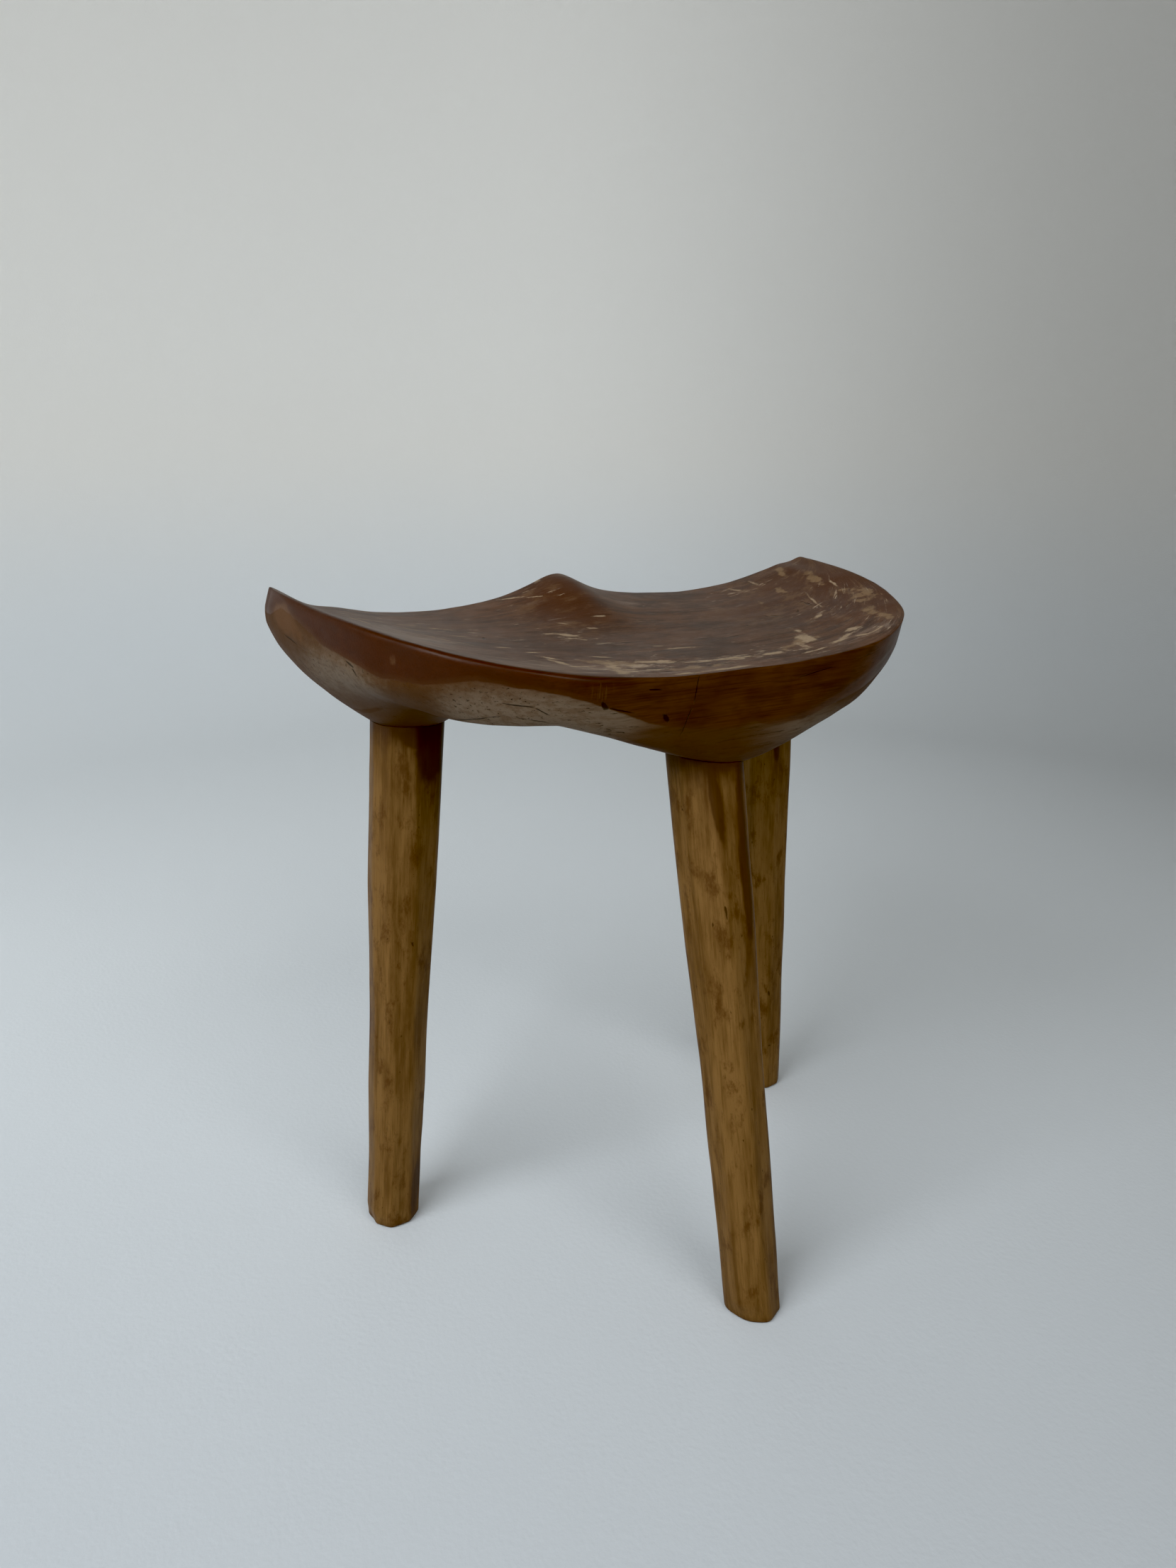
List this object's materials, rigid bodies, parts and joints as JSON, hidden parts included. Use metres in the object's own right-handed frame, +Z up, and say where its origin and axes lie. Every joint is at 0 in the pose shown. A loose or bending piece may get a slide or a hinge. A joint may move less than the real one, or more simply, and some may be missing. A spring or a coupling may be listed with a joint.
{
  "type": "tripod stool",
  "caption": "Low stool with a thick carved saddle seat that has a pommel at its front edge, on splayed round legs tenoned into bosses under the seat.",
  "frame": {"origin": "centre of the stool's bounding box, on the floor under its feet", "axes": "+X along the seat's width, +Y from the rounded back edge towards the straight front edge with the pommel, +Z up"},
  "size_m": [0.4214, 0.2519, 0.4396],
  "materials": {
    "seat_wood": "dark stained and lacquered hardwood, glossy on the edge and worn dull on top and underneath",
    "leg_wood": "yellow-brown shaved hardwood with a thin satin varnish"
  },
  "bodies": {
    "root": {"seat": "seat_wood", "leg_left": "leg_wood", "leg_right": "leg_wood", "leg_back": "leg_wood"}
  },
  "joints": []
}
